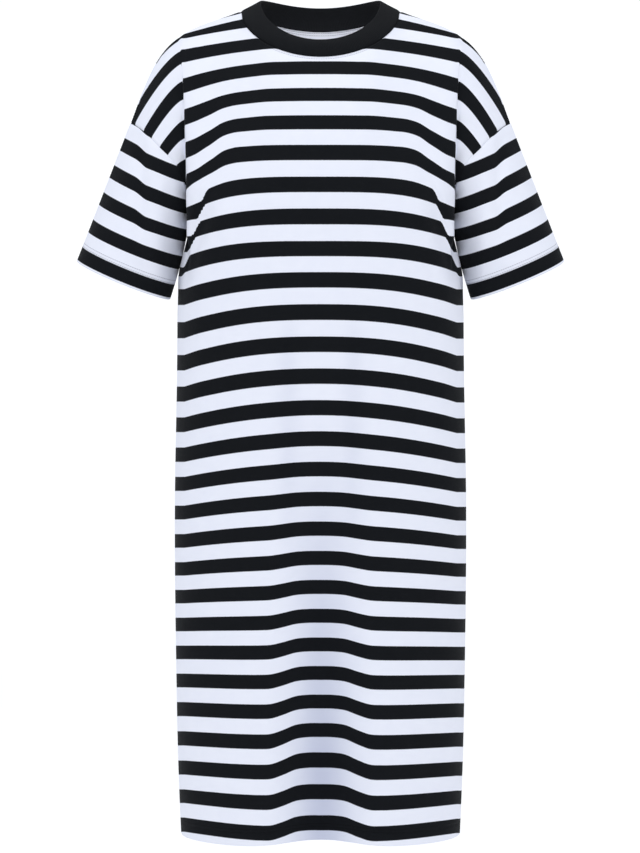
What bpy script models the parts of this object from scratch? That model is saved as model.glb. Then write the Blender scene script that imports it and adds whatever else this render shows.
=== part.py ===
"""Midi dress of striped jersey: a straight body, dropped shoulders, short sleeves, a ribbed neck.

Metres, +Z up. The front faces -Y. The origin is in the middle of the neck, level with the
highest point of the shoulders. "across" is a distance from the middle plane, "depth" one from the
plane of the shoulder seams, "drop" one below the origin, and "share" a part of the whole way.
"""

import math

import bpy
import numpy as np

# Cloth
WALL = 0.0015
RIB_WALL = 0.0020
SEAM_GAP = 0.0003

# Neck seam and rib
NECK_HALF_WIDTH = 0.108
NECK_POINT_DROP = 0.0131
NECK_FRONT_DEPTH = 0.072
NECK_BACK_DEPTH = 0.080
NECK_FRONT_DROP = 0.0859
NECK_BACK_DROP = 0.0266
RIB_TOP_HALF_WIDTH = 0.0824
RIB_TOP_FRONT_DEPTH = 0.060
RIB_TOP_BACK_DEPTH = 0.066
RIB_TOP_FRONT_DROP = 0.0618
RIB_TOP_BACK_DROP = -0.0026
RIB_SWELL = 0.0015
NECK_ROUNDNESS = 1.14
RIB_TOP_ROUNDNESS = 1.1
NECK_BACK_ROUNDNESS = 3.0
RIB_BACK_HUMP = 0.0048

# Body: an oval of this exponent, whose front turns over a crest into the fold beside the arm
OVAL = 2.4
CREST_ACROSS = 0.9167
UNDERARM_DROP = 0.300
UNDERARM_ACROSS = 0.1775
SIDE_ROUNDS_OUT = 0.078
HEM_DROP = 1.120
HEM_CENTRE_RISE = 0.006
HEM_CENTRE_WIDTH = 0.060
HEM_RISE_FROM_DROP = 1.000

# Where the panel's columns meet the neck point, the crest, the fold's floor and the seam
NECK_SHARE = 0.42
CREST_SHARE = 0.72
FLOOR_SHARE = 0.76

# How the columns spread over the body, as a part of the way to the crest
SPREAD = {
    "share": (0.00, 0.14, 0.28, 0.42, 0.57, 0.72),
    "part":  (0.00, 0.24, 0.48, 0.69, 0.86, 1.00),
}

# Body sections, one row for each height
BODY = {
    "drop":       (0.300, 0.500, 0.680, 0.900, 1.050, 1.120),
    "half_width": (0.192, 0.1935, 0.1964, 0.1945, 0.1910, 0.1880),
    "front":      (0.125, 0.1245, 0.1235, 0.1220, 0.1215, 0.1205),
    "back":       (0.112, 0.1125, 0.1140, 0.1140, 0.1130, 0.1120),
}

# Shoulder seam, from the neck point to the top of the sleeve seam
SHOULDER = {
    "share":  (0.42, 0.54, 0.66, 0.72, 0.76, 0.82, 0.88, 0.94, 1.00),
    "across": (0.1080, 0.1400, 0.1720, 0.1860, 0.1950, 0.2090, 0.2250, 0.2410, 0.2564),
    "drop":   (0.0131, 0.0238, 0.0366, 0.0445, 0.0507, 0.0637, 0.0868, 0.1215, 0.1630),
}

# Floor of the fold beside the arm, from the shoulder seam to the underarm
FLOOR = {
    "share":  (0.0, 0.2, 0.4, 0.6, 0.75, 0.88, 1.0),
    "across": (0.1950, 0.1885, 0.1840, 0.1812, 0.1792, 0.1778, 0.1768),
    "depth":  (0.0000, 0.0260, 0.0380, 0.0450, 0.0440, 0.0300, 0.0080),
    "drop":   (0.0507, 0.0740, 0.1190, 0.1820, 0.2340, 0.2680, 0.3000),
}

# Sleeve seam on the front, from the shoulder to the underarm
ARMHOLE = {
    "share":  (0.0, 0.2, 0.4, 0.6, 0.75, 0.88, 0.96, 1.0),
    "across": (0.2564, 0.2347, 0.2141, 0.1915, 0.1815, 0.1788, 0.1778, 0.1775),
    "depth":  (0.0000, 0.0300, 0.0450, 0.0490, 0.0400, 0.0240, 0.0090, 0.0000),
    "drop":   (0.1630, 0.1813, 0.2030, 0.2265, 0.2460, 0.2720, 0.2930, 0.3000),
}
BACK_ARM_DEPTH = 0.92

# How the body leaves its top edge, forward and down, and how much the shoulder rounds over
REACH = {
    "share":          (0.00, 0.21, 0.42, 0.57, 0.72),
    "front_forward":  (0.085, 0.090, 0.105, 0.115, 0.115),
    "front_down":     (0.090, 0.090, 0.090, 0.085, 0.085),
    "front_rounding": (0.000, 0.000, 0.004, 0.006, 0.006),
    "back_forward":   (0.060, 0.110, 0.220, 0.185, 0.140),
    "back_down":      (0.120, 0.070, 0.005, 0.035, 0.060),
    "back_rounding":  (0.000, 0.000, 0.001, 0.004, 0.006),
}
ROUNDING_REACH = 0.03
FALL = 0.300

# Easing of the cloth round the neck point: where it starts, is full, and fades out again
EASE_ROUNDS = 24
EASE_STRENGTH = 0.5
EASE_SHARES = (0.16, 0.34, 0.52, 0.70)
EASE_ROWS = (0.00, 0.25, 0.55, 1.00)

# Sleeve hem: a tilted oval
SLEEVE_TILT = math.radians(22.5)
SLEEVE_HEM_ACROSS = 0.2657
SLEEVE_HEM_DROP = 0.3753
SLEEVE_HEM_HALF_WIDTH = 0.0680
SLEEVE_HEM_HALF_DEPTH = 0.0550
SLEEVE_HEM_FRONT_DIP = 0.008
SLEEVE_HEM_BACK_RISE = 0.006
SLEEVE_SAG = 0.0020
UNDERARM_CLEARANCE = 0.0006
UNDERARM_CLEARED_FROM = 0.6

# Largest folds of the panels, one row for each: a line from top to end, in across and drop.
# A step is steep on its inner side and eases out over its width. A hollow is even on both sides.
FOLD_COLUMNS = ("panel", "kind", "top", "end", "depth_top", "depth_end", "width")
FOLDS = (
    ("front", "step", (0.142, 0.255), (0.190, 0.398), 0.0, 0.006, 0.030),
    ("front", "hollow", (0.000, 0.560), (0.000, 1.120), 0.0, 0.024, 0.054),
    ("back", "step", (0.138, 0.250), (0.188, 0.400), 0.0, 0.005, 0.032),
    ("back", "hollow", (0.000, 0.520), (0.000, 1.120), 0.0, 0.020, 0.060),
)
STEP_RISE = 0.022
STEP_STARTS = (0.00, 0.25)
STEP_FADES = (0.75, 1.15)
HOLLOW_FLATNESS = 3
FOLD_KEPT_FROM_SIDE = 0.020
FOLD_KEPT_FROM_ARM = 0.06
FOLD_HALF_WIDTH = 0.19
FOLD_HALF_DEPTH = 0.12

# Rows and columns of the panels, for half the width
UPPER_SHARES = (0.0, 0.03, 0.09, 0.18, 0.30, 0.42, 0.54, 0.66, 0.77, 0.88, 1.0)
ARMPIT_ROWS = 8
ARMPIT_END = 0.420
SKIRT_ROWS = 14
COLUMN_SHARES = (0.0, 0.07, 0.14, 0.21, 0.28, 0.35, 0.42, 0.48, 0.54, 0.60, 0.66, 0.69,
                 0.72, 0.76, 0.82, 0.88, 0.94, 0.985, 1.0)
SLEEVE_ROWS = 8
RIB_ROWS = 4

# Colours and finish
WHITE_JERSEY = (0.82, 0.84, 0.90, 1.0)
BLACK_RIB = (0.012, 0.013, 0.016, 1.0)
JERSEY_ROUGHNESS = 0.85


def through(table, key, column, at):
    """A smooth curve through a table's column, at places along its key column."""
    keys = np.array(table[key], float)
    values = np.array(table[column], float)
    slopes = np.gradient(values, keys)
    at = np.clip(at, keys[0], keys[-1])
    row = np.clip(np.searchsorted(keys, at, side="right") - 1, 0, len(keys) - 2)
    span = keys[row + 1] - keys[row]
    u = (at - keys[row]) / span
    return hermite(values[row], values[row + 1], slopes[row] * span, slopes[row + 1] * span, u)


def hermite(start, end, leave, arrive, u):
    """The cubic from start to end that leaves and arrives with the given slopes."""
    rise = u * u * (3 - 2 * u)
    return (start * (1 - rise) + end * rise
            + leave * u * (1 - u) ** 2 - arrive * u * u * (1 - u))


def ease(low, high, value):
    """0 below low, 1 above high, smooth between."""
    u = np.clip((value - low) / (high - low), 0.0, 1.0)
    return u * u * (3 - 2 * u)


def mix(first, second, weight):
    return first + (second - first) * weight


def oval_depth(across, half_width, half_depth):
    ratio = np.clip(np.abs(across) / half_width, 0.0, 1.0)
    return half_depth * (1 - ratio ** OVAL) ** (1 / OVAL)


def neck_edge(share, panel, grow=0.0):
    """The neck seam from the middle, at share 0, to the neck point, at NECK_SHARE."""
    turn = np.radians(90) * (1 - share / NECK_SHARE)
    front = panel == "front"
    depth = NECK_FRONT_DEPTH if front else NECK_BACK_DEPTH
    drop = NECK_FRONT_DROP if front else NECK_BACK_DROP
    down = np.sin(turn) ** (NECK_ROUNDNESS if front else NECK_BACK_ROUNDNESS)
    return ((NECK_HALF_WIDTH + grow) * np.cos(turn), (depth + grow) * np.sin(turn),
            NECK_POINT_DROP + (drop - NECK_POINT_DROP) * down)


def top_edge(share, panel):
    """The panel's top edge: across, depth and drop at each share of the half width."""
    on_neck = share <= NECK_SHARE
    neck = neck_edge(np.minimum(share, NECK_SHARE), panel, SEAM_GAP)
    beyond = np.maximum(share, NECK_SHARE)
    across = np.where(on_neck, neck[0], through(SHOULDER, "share", "across", beyond))
    depth = np.where(on_neck, neck[1], 0.0)
    drop = np.where(on_neck, neck[2], through(SHOULDER, "share", "drop", beyond))
    return across, depth, drop


def section(share, drop, panel):
    """Across and depth of the body's section at a drop from the underarm down."""
    half_width = through(BODY, "drop", "half_width", drop)
    half_depth = through(BODY, "drop", panel, drop)
    crest = CREST_ACROSS * half_width
    chest_across = crest * through(SPREAD, "share", "part", share)
    chest_depth = oval_depth(chest_across, half_width, half_depth)
    crest_depth = oval_depth(crest, half_width, half_depth)

    beyond = np.clip((share - CREST_SHARE) / (1 - CREST_SHARE), 0.0, 1.0)
    crest_turn = math.asin(CREST_ACROSS ** (OVAL / 2))
    turn = mix(crest_turn, math.pi / 2, beyond)
    round_across = half_width * np.sin(turn) ** (2 / OVAL)
    round_depth = half_depth * np.clip(np.cos(turn), 0.0, 1.0) ** (2 / OVAL)

    to_floor = np.clip((share - CREST_SHARE) / (FLOOR_SHARE - CREST_SHARE), 0.0, 1.0)
    to_side = np.clip((share - FLOOR_SHARE) / (1 - FLOOR_SHARE), 0.0, 1.0)
    floor_depth = FLOOR["depth"][-1]
    flat_across = mix(mix(crest, FLOOR["across"][-1], to_floor), UNDERARM_ACROSS, to_side)
    flat_depth = mix(mix(crest_depth, floor_depth, to_floor), 0.0, to_side)

    rounded = ease(UNDERARM_DROP, UNDERARM_DROP + SIDE_ROUNDS_OUT, drop)
    beyond_crest = share > CREST_SHARE
    across = np.where(beyond_crest, mix(flat_across, round_across, rounded), chest_across)
    depth = np.where(beyond_crest, mix(flat_depth, round_depth, rounded), chest_depth)
    return across, depth


def chest(share, along, panel):
    """The upper panel between the middle and the crest, from its top edge to the underarm."""
    top_across, top_depth, top_drop = top_edge(share, panel)
    across, depth = section(share, np.full_like(share, UNDERARM_DROP), panel)
    forward = through(REACH, "share", panel + "_forward", share)
    downward = through(REACH, "share", panel + "_down", share)
    rounding = through(REACH, "share", panel + "_rounding", share)
    rounding = rounding * (1 - np.exp(-along / ROUNDING_REACH)) * (1 - along)
    return (mix(top_across, across, ease(0.0, 1.0, along)),
            hermite(top_depth, depth, forward, 0.0, along) + rounding,
            hermite(top_drop, UNDERARM_DROP, downward, FALL, along))


def fold_floor(along, panel):
    scale = 1.0 if panel == "front" else BACK_ARM_DEPTH
    return (through(FLOOR, "share", "across", along),
            through(FLOOR, "share", "depth", along) * scale,
            through(FLOOR, "share", "drop", along))


def armhole(along, panel):
    scale = 1.0 if panel == "front" else BACK_ARM_DEPTH
    return (through(ARMHOLE, "share", "across", along),
            through(ARMHOLE, "share", "depth", along) * scale,
            through(ARMHOLE, "share", "drop", along))


def arm_side(share, along, panel):
    """The upper panel beyond the crest: down into the fold and out over the arm to the seam."""
    crest = chest(np.full_like(share, CREST_SHARE), along, panel)
    floor = fold_floor(along, panel)
    seam = armhole(along, panel)
    top = top_edge(share, panel)
    floor_top = top_edge(np.full_like(share, FLOOR_SHARE), panel)
    seam_top = top_edge(np.ones_like(share), panel)
    to_floor = np.clip((share - CREST_SHARE) / (FLOOR_SHARE - CREST_SHARE), 0.0, 1.0)
    to_seam = np.clip((share - FLOOR_SHARE) / (1 - FLOOR_SHARE), 0.0, 1.0)
    result = []
    for axis in range(3):
        wall = mix(crest[axis], floor[axis], to_floor)
        rails = mix(floor[axis], seam[axis], to_seam)
        bow = (top[axis] - mix(floor_top[axis], seam_top[axis], to_seam)) * (1 - along) ** 2
        result.append(np.where(share <= FLOOR_SHARE, wall, rails + bow))
    return result


def fold_depth(across, drop, panel):
    """How far the panel's folds press it inward."""
    total = np.zeros_like(across)
    for row in FOLDS:
        fold = dict(zip(FOLD_COLUMNS, row))
        if fold["panel"] != panel:
            continue
        top = np.array(fold["top"])
        run = np.array(fold["end"]) - top
        length = math.hypot(*run)
        beside = (across - top[0]) * run[1] / length - (drop - top[1]) * run[0] / length
        along = ((across - top[0]) * run[0] + (drop - top[1]) * run[1]) / length ** 2
        depth = mix(fold["depth_top"], fold["depth_end"], np.clip(along, 0.0, 1.0))
        if fold["kind"] == "step":
            profile = ease(-STEP_RISE, 0.0, beside) * np.exp(-np.clip(beside, 0, None)
                                                             / fold["width"])
            reach = ease(*STEP_STARTS, along) * (1 - ease(*STEP_FADES, along))
            depth = fold["depth_end"] * reach
        else:
            profile = np.exp(-np.abs(beside / fold["width"]) ** HOLLOW_FLATNESS)
        total += depth * profile
    return total


def panel_grid(panel, share, row):
    """Points of one panel. A row up to 1 runs from the top edge to the underarm, then to the hem."""
    side = np.sign(share)
    half = np.abs(share)
    along = np.clip(row, 0.0, 1.0)
    below = np.clip(row - 1.0, 0.0, 1.0)
    upper = [np.where(half <= CREST_SHARE, inner, outer) for inner, outer in
             zip(chest(np.minimum(half, CREST_SHARE), along, panel),
                 arm_side(np.maximum(half, CREST_SHARE), along, panel))]
    drop = mix(UNDERARM_DROP, HEM_DROP, below)
    across, depth = section(half, drop, panel)
    in_skirt = row > 1.0
    across = np.where(in_skirt, across, upper[0])
    depth = np.where(in_skirt, depth, upper[1])
    drop = np.where(in_skirt, drop, upper[2])

    beside_arm = (ease(CREST_SHARE, FLOOR_SHARE, half)
                  * (1 - ease(1.0, 1.0 + FOLD_KEPT_FROM_ARM, row)))
    press = fold_depth(across, drop, panel) * ease(0.0, FOLD_KEPT_FROM_SIDE, depth)
    press = press * (1 - beside_arm)
    steep = np.maximum(depth, 1e-6) / FOLD_HALF_DEPTH ** 2
    outward = across / FOLD_HALF_WIDTH ** 2
    length = np.hypot(steep, outward)
    depth = depth - press * steep / length
    across = across - press * outward / length
    centre = np.exp(-(across / HEM_CENTRE_WIDTH) ** 2) * ease(HEM_RISE_FROM_DROP, HEM_DROP, drop)
    drop = drop - HEM_CENTRE_RISE * centre
    facing = -1.0 if panel == "front" else 1.0
    return np.stack([np.where(side < 0, -across, across),
                     facing * (depth + SEAM_GAP / 2), -drop], axis=-1)


def eased(points, share, row):
    """The grid with the cloth round the neck point smoothed, its edges left where they are."""
    low, full, still, gone = EASE_SHARES
    half = np.abs(share)
    strength = ease(low, full, half) * (1 - ease(still, gone, half))
    strength = strength * ease(*EASE_ROWS[:2], row) * (1 - ease(*EASE_ROWS[2:], row))
    strength = EASE_STRENGTH * strength[1:-1, 1:-1, None]
    for _ in range(EASE_ROUNDS):
        neighbours = (points[:-2, 1:-1] + points[2:, 1:-1] + points[1:-1, :-2] + points[1:-1, 2:])
        points[1:-1, 1:-1] += strength * (neighbours / 4 - points[1:-1, 1:-1])
    return points


def grid_normals(points, around=False):
    """Normals of a grid of points, which closes on itself along its columns when around is set.

    Each is the mean of the normals of the faces that meet there.
    """
    if around:
        points = np.concatenate([points, points[:, :1]], axis=1)
    diagonals = (points[1:, 1:] - points[:-1, :-1], points[:-1, 1:] - points[1:, :-1])
    faces = np.cross(*diagonals)
    faces = faces / np.maximum(np.linalg.norm(faces, axis=-1, keepdims=True), 1e-12)
    if around:
        faces = np.concatenate([faces[:, -1:], faces, faces[:, :1]], axis=1)
        faces = np.concatenate([faces[:1], faces, faces[-1:]], axis=0)
        normals = faces[:-1, :-1] + faces[:-1, 1:] + faces[1:, :-1] + faces[1:, 1:]
        normals = normals[:, :-1]
    else:
        faces = np.concatenate([faces[:, :1], faces, faces[:, -1:]], axis=1)
        faces = np.concatenate([faces[:1], faces, faces[-1:]], axis=0)
        normals = faces[:-1, :-1] + faces[:-1, 1:] + faces[1:, :-1] + faces[1:, 1:]
    return normals / np.maximum(np.linalg.norm(normals, axis=-1, keepdims=True), 1e-12)


def flattened(normals, axis):
    """Normals without their part along an axis, so that a seam's two walls keep their gap."""
    axis = np.array(axis, float)
    kept = normals - np.sum(normals * axis, axis=-1, keepdims=True) * axis
    return kept / np.linalg.norm(kept, axis=-1, keepdims=True)


def rib_fall(turn):
    """The way the rib runs down to its seam, at places round the neck."""
    run = rib_loop(turn, np.ones_like(turn)) - rib_loop(turn, np.zeros_like(turn))
    return run / np.linalg.norm(run, axis=-1, keepdims=True)


def sleeve_axis(side):
    return np.array([side * math.sin(SLEEVE_TILT), 0.0, -math.cos(SLEEVE_TILT)])


def panel_rows():
    armpit = (ARMPIT_END - UNDERARM_DROP) / (HEM_DROP - UNDERARM_DROP)
    below = list(np.linspace(0, armpit, ARMPIT_ROWS + 1)[1:])
    below += list(np.linspace(armpit, 1.0, SKIRT_ROWS + 1)[1:])
    return np.array(list(UPPER_SHARES) + [1.0 + part for part in below])


def make_panel(panel, collection, material):
    half = list(COLUMN_SHARES)
    columns = np.array([-part for part in reversed(half[1:])] + half)
    share, row = np.meshgrid(columns, panel_rows())
    outer = eased(panel_grid(panel, share, row), share, row)
    normals = grid_normals(outer)
    if panel == "back":
        normals = -normals
    last = len(UPPER_SHARES) - 1
    on_shoulder = np.abs(columns) >= NECK_SHARE
    on_neck = np.abs(columns) < NECK_SHARE
    quarter = np.radians(90) * (1 - columns[on_neck] / NECK_SHARE)
    facing = -1 if panel == "front" else 1
    normals[0, on_neck] = flattened(normals[0, on_neck], rib_fall(facing * quarter))
    normals[0, on_shoulder] = flattened(normals[0, on_shoulder], (0, 1, 0))
    normals[last:, 0] = flattened(normals[last:, 0], (0, 1, 0))
    normals[last:, -1] = flattened(normals[last:, -1], (0, 1, 0))
    for column, side in ((0, -1), (-1, 1)):
        normals[:last, column] = flattened(normals[:last, column], sleeve_axis(side))
    make_shell(panel, outer, outer - WALL * normals, False, collection, material)


def sleeve_grid(side, turn_shares, rows):
    """Points of a sleeve, in rows from the armhole to the hem and once round in each row."""
    axis = sleeve_axis(1)
    outward = np.array([math.cos(SLEEVE_TILT), 0.0, math.sin(SLEEVE_TILT)])
    share, down = np.meshgrid(turn_shares, rows)
    in_front = share <= 1.0
    along = np.where(in_front, share, 2.0 - share)
    facing = np.where(in_front, -1.0, 1.0)
    seam = [np.where(in_front, front, back) for front, back in
            zip(armhole(along, "front"), armhole(along, "back"))]
    clear = SEAM_GAP + UNDERARM_CLEARANCE * ease(UNDERARM_CLEARED_FROM, 1.0, along)
    start = np.stack([seam[0] + clear, facing * (seam[1] + SEAM_GAP / 2), -seam[2]], axis=-1)
    start = start + axis * SEAM_GAP
    turn = math.pi * share
    depth = -SLEEVE_HEM_HALF_DEPTH * np.sin(turn)
    dip = np.where(in_front, SLEEVE_HEM_FRONT_DIP, SLEEVE_HEM_BACK_RISE) * np.sin(turn)
    end = (np.array([SLEEVE_HEM_ACROSS, 0.0, -SLEEVE_HEM_DROP])
           + outward * (SLEEVE_HEM_HALF_WIDTH * np.cos(turn))[..., None]
           + np.array([0.0, 1.0, 0.0]) * depth[..., None]
           + axis * dip[..., None])
    points = mix(start, end, down[..., None])
    points[..., 0] -= SLEEVE_SAG * np.sin(math.pi * down) * ease(0.7, 1.0, along)
    points[..., 0] *= side
    return points


def make_sleeve(name, side, collection, material):
    turns = np.array(list(UPPER_SHARES) + [2.0 - part for part in reversed(UPPER_SHARES[1:-1])])
    points = sleeve_grid(side, turns, np.linspace(0.0, 1.0, SLEEVE_ROWS + 1))
    normals = grid_normals(points, around=True) * (-side)
    normals[0] = flattened(normals[0], sleeve_axis(side))
    make_shell(name, points, points - WALL * normals, True, collection, material)


def rib_loop(turn, down):
    """Points of the rib, from its free top edge, down 0, to the neck seam, down 1."""
    front = np.sin(turn) < 0
    lift = np.abs(np.sin(turn))
    curve = np.where(front, lift ** NECK_ROUNDNESS, lift ** NECK_BACK_ROUNDNESS)
    half_width = mix(RIB_TOP_HALF_WIDTH, NECK_HALF_WIDTH, down)
    depth = np.where(front, mix(RIB_TOP_FRONT_DEPTH, NECK_FRONT_DEPTH, down),
                     mix(RIB_TOP_BACK_DEPTH, NECK_BACK_DEPTH, down))
    back_top = RIB_TOP_BACK_DROP * lift - RIB_BACK_HUMP * 4 * lift * (1 - lift)
    top_drop = np.where(front, RIB_TOP_FRONT_DROP * lift ** RIB_TOP_ROUNDNESS, back_top)
    seam_drop = NECK_POINT_DROP + (np.where(front, NECK_FRONT_DROP, NECK_BACK_DROP)
                                   - NECK_POINT_DROP) * curve
    swell = RIB_SWELL * np.sin(math.pi * down) * lift
    return np.stack([(half_width + swell) * np.cos(turn),
                     np.sign(np.sin(turn)) * (depth + swell) * lift,
                     -mix(top_drop, seam_drop, down) + swell], axis=-1)


def make_rib(name, collection, material):
    quarter = np.radians(90) * np.array([1 - part / NECK_SHARE for part in COLUMN_SHARES
                                         if part <= NECK_SHARE])[::-1]
    turns = np.concatenate([quarter, math.pi - quarter[::-1][1:], math.pi + quarter[1:],
                            2 * math.pi - quarter[::-1][1:-1]])
    turn, down = np.meshgrid(turns, np.linspace(0.0, 1.0, RIB_ROWS + 1))
    points = rib_loop(turn, down)
    normals = grid_normals(points, around=True)
    normals[-1] = flattened(normals[-1], rib_fall(turns))
    make_shell(name, points, points - RIB_WALL * normals, True, collection, material)


def make_shell(name, outer, inner, around, collection, material):
    """A closed wall between two grids of points: a loft with its rims.

    Both layers are split along the same diagonals, so that the thin wall never crosses itself.
    """
    rows, columns = outer.shape[:2]
    count = rows * columns
    spans = columns if around else columns - 1

    def place(layer, row, column):
        return layer * count + row * columns + column % columns

    faces = []
    for row in range(rows - 1):
        for column in range(spans):
            for layer in (0, 1):
                near, beside = place(layer, row, column), place(layer, row, column + 1)
                below, across = place(layer, row + 1, column), place(layer, row + 1, column + 1)
                for corners in ((near, beside, across), (near, across, below)):
                    faces.append(corners if layer else corners[::-1])
    for column in range(spans):
        for row, turned in ((0, False), (rows - 1, True)):
            quad = [place(0, row, column), place(0, row, column + 1),
                    place(1, row, column + 1), place(1, row, column)]
            faces.append(quad[::-1] if turned else quad)
    if not around:
        for row in range(rows - 1):
            for column, turned in ((0, True), (columns - 1, False)):
                quad = [place(0, row, column), place(0, row + 1, column),
                        place(1, row + 1, column), place(1, row, column)]
                faces.append(quad[::-1] if turned else quad)

    mesh = bpy.data.meshes.new(name)
    points = np.concatenate([outer.reshape(-1, 3), inner.reshape(-1, 3)])
    mesh.from_pydata(points.tolist(), [], faces)
    make_faces_point_out(mesh)
    mesh.shade_smooth()
    mesh.materials.append(material)
    collection.objects.link(bpy.data.objects.new(name, mesh))


def make_faces_point_out(mesh):
    """Turn all faces round when the closed wall encloses a negative volume."""
    mesh.calc_loop_triangles()
    volume = 0.0
    for triangle in mesh.loop_triangles:
        a, b, c = (mesh.vertices[index].co for index in triangle.vertices)
        volume += a.dot(b.cross(c))
    if volume < 0:
        mesh.flip_normals()


def cloth_material(name, colour):
    material = bpy.data.materials.new(name)
    material.use_nodes = True
    shader = material.node_tree.nodes["Principled BSDF"]
    shader.inputs["Base Color"].default_value = colour
    shader.inputs["Roughness"].default_value = JERSEY_ROUGHNESS
    shader.inputs["Metallic"].default_value = 0.0
    return material


def main():
    for item in list(bpy.data.objects):
        bpy.data.objects.remove(item, do_unlink=True)
    collection = bpy.data.collections.new("midi_dress")
    bpy.context.scene.collection.children.link(collection)
    for panel in ("front", "back"):
        make_panel(panel, collection, cloth_material(panel + "_jersey", WHITE_JERSEY))
    for name, side in (("sleeve_left", -1), ("sleeve_right", 1)):
        make_sleeve(name, side, collection, cloth_material(name + "_jersey", WHITE_JERSEY))
    make_rib("neck_rib", collection, cloth_material("neck_rib_knit", BLACK_RIB))


main()
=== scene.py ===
"""Striped midi dress: its cloth with folds, stripes, rib and sewing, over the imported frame.

Metres, +Z up. The front faces -Y. The origin is in the middle of the neck, level with the
highest point of the shoulders. "across" is a distance from the middle plane, "depth" one from the
plane of the shoulder seams, "drop" one below the origin, and "share" a part of the whole way.
"""

import math

import bpy
import numpy as np
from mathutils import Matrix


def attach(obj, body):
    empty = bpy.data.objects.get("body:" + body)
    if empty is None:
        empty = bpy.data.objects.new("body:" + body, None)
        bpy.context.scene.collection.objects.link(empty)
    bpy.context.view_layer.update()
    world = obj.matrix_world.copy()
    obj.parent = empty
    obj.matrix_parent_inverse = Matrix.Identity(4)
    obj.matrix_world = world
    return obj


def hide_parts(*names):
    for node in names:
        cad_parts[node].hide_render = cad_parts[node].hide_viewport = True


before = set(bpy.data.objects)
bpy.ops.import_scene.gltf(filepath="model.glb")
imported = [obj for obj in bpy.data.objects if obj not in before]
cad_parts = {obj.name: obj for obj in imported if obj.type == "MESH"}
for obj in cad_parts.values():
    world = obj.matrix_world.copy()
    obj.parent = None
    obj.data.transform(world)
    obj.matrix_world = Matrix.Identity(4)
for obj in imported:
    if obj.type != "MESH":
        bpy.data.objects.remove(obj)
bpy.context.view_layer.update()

# Camera, at the photo's distance and height
EYE_AWAY = 3.0
EYE_DROP = 0.5743
EYE_ACROSS = -0.0007
LENS = 93.69

# Cloth as it shows: the wall of the jersey, its doubled hem, and the rib
WALL = 0.0013
HEM_WALL = 0.0024
RIB_WALL = 0.0026
BODY_HEM_DEPTH = 0.0215
SLEEVE_HEM_DEPTH = 0.0265
SEAM_ROLL = 0.0012
SEAM_ROLL_WIDTH = 0.0022

# Neck seam and rib
NECK_HALF_WIDTH = 0.108
NECK_POINT_DROP = 0.0131
NECK_FRONT_DEPTH = 0.072
NECK_BACK_DEPTH = 0.080
NECK_FRONT_DROP = 0.0859
NECK_BACK_DROP = 0.0266
RIB_TOP_HALF_WIDTH = 0.0824
RIB_TOP_FRONT_DEPTH = 0.060
RIB_TOP_BACK_DEPTH = 0.066
RIB_TOP_FRONT_DROP = 0.0618
RIB_TOP_BACK_DROP = -0.0026
RIB_SWELL = 0.0022
NECK_ROUNDNESS = 1.14
RIB_TOP_ROUNDNESS = 1.1
NECK_BACK_ROUNDNESS = 3.0
RIB_BACK_HUMP = 0.0048

# Body
OVAL = 2.4
CREST_ACROSS = 0.9167
UNDERARM_DROP = 0.300
UNDERARM_ACROSS = 0.1775
SIDE_ROUNDS_OUT = 0.078
HEM_DROP = 1.120
HEM_CENTRE_RISE = 0.006
HEM_CENTRE_WIDTH = 0.060
HEM_RISE_FROM_DROP = 1.000

# Where the panel's columns meet the neck point, the crest, the fold's floor and the seam
NECK_SHARE = 0.42
CREST_SHARE = 0.72
FLOOR_SHARE = 0.76

SPREAD = {
    "share": (0.00, 0.14, 0.28, 0.42, 0.57, 0.72),
    "part":  (0.00, 0.24, 0.48, 0.69, 0.86, 1.00),
}
BODY = {
    "drop":       (0.300, 0.500, 0.680, 0.900, 1.050, 1.120),
    "half_width": (0.192, 0.1935, 0.1964, 0.1945, 0.1910, 0.1880),
    "front":      (0.125, 0.1245, 0.1235, 0.1220, 0.1215, 0.1205),
    "back":       (0.112, 0.1125, 0.1140, 0.1140, 0.1130, 0.1120),
}
SHOULDER = {
    "share":  (0.42, 0.54, 0.66, 0.72, 0.76, 0.82, 0.88, 0.94, 1.00),
    "across": (0.1080, 0.1400, 0.1720, 0.1860, 0.1950, 0.2090, 0.2250, 0.2410, 0.2564),
    "drop":   (0.0131, 0.0238, 0.0366, 0.0445, 0.0507, 0.0637, 0.0868, 0.1215, 0.1630),
}
FLOOR = {
    "share":  (0.0, 0.2, 0.4, 0.6, 0.75, 0.88, 1.0),
    "across": (0.1950, 0.1885, 0.1840, 0.1812, 0.1792, 0.1778, 0.1768),
    "depth":  (0.0000, 0.0260, 0.0380, 0.0450, 0.0440, 0.0300, 0.0080),
    "drop":   (0.0507, 0.0740, 0.1190, 0.1820, 0.2340, 0.2680, 0.3000),
}
ARMHOLE = {
    "share":  (0.0, 0.2, 0.4, 0.6, 0.75, 0.88, 0.96, 1.0),
    "across": (0.2564, 0.2347, 0.2141, 0.1915, 0.1815, 0.1788, 0.1778, 0.1775),
    "depth":  (0.0000, 0.0300, 0.0450, 0.0490, 0.0400, 0.0240, 0.0090, 0.0),
    "drop":   (0.1630, 0.1813, 0.2030, 0.2265, 0.2460, 0.2720, 0.2930, 0.3000),
}
BACK_ARM_DEPTH = 0.92
REACH = {
    "share":          (0.00, 0.21, 0.42, 0.57, 0.72),
    "front_forward":  (0.085, 0.090, 0.105, 0.115, 0.115),
    "front_down":     (0.090, 0.090, 0.090, 0.085, 0.085),
    "front_rounding": (0.000, 0.0, 0.004, 0.006, 0.006),
    "back_forward":   (0.060, 0.110, 0.220, 0.185, 0.140),
    "back_down":      (0.120, 0.070, 0.005, 0.035, 0.060),
    "back_rounding":  (0.000, 0.0, 0.001, 0.004, 0.006),
}
ROUNDING_REACH = 0.03
FALL = 0.300
EASE_ROUNDS = 24
EASE_STRENGTH = 0.5
EASE_SHARES = (0.16, 0.34, 0.52, 0.70)
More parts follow.
